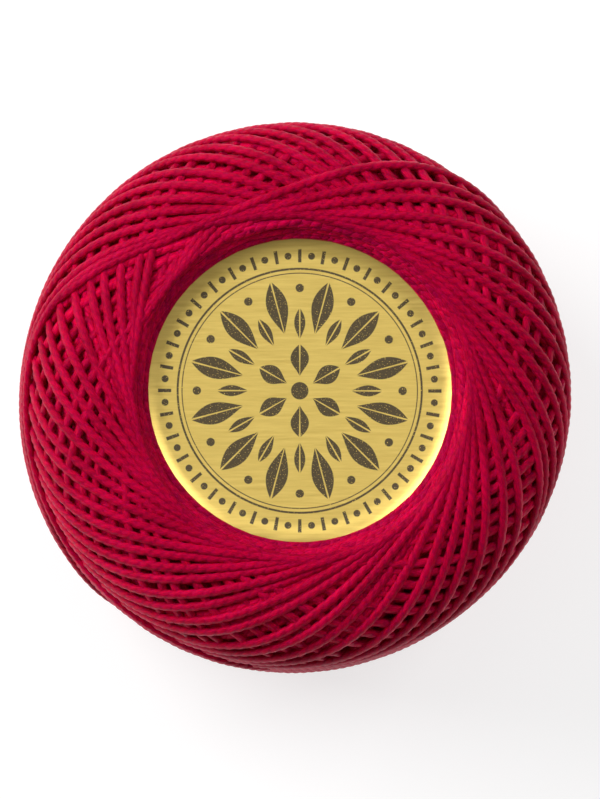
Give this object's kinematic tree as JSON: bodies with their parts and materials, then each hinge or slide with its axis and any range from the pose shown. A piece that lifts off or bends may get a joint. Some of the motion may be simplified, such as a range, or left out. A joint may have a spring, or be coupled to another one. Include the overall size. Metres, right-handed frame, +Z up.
{
  "type": "ball of pearl cotton thread",
  "caption": "Cross-wound barrel-shaped ball of crimson two-ply pearl cotton, lying on one end, with a round gold foil label set in the opening of its upper end.",
  "frame": {"origin": "on the surface the ball stands on, under its winding axis", "axes": "+Z up along the winding axis, out through the label; +Y towards the top of the label"},
  "size_m": [0.032, 0.0316, 0.024],
  "materials": {
    "pearl_cotton": "satin",
    "gold_foil": "satin"
  },
  "bodies": {
    "root": {"thread_ball": "pearl_cotton", "label": "gold_foil"}
  },
  "joints": []
}
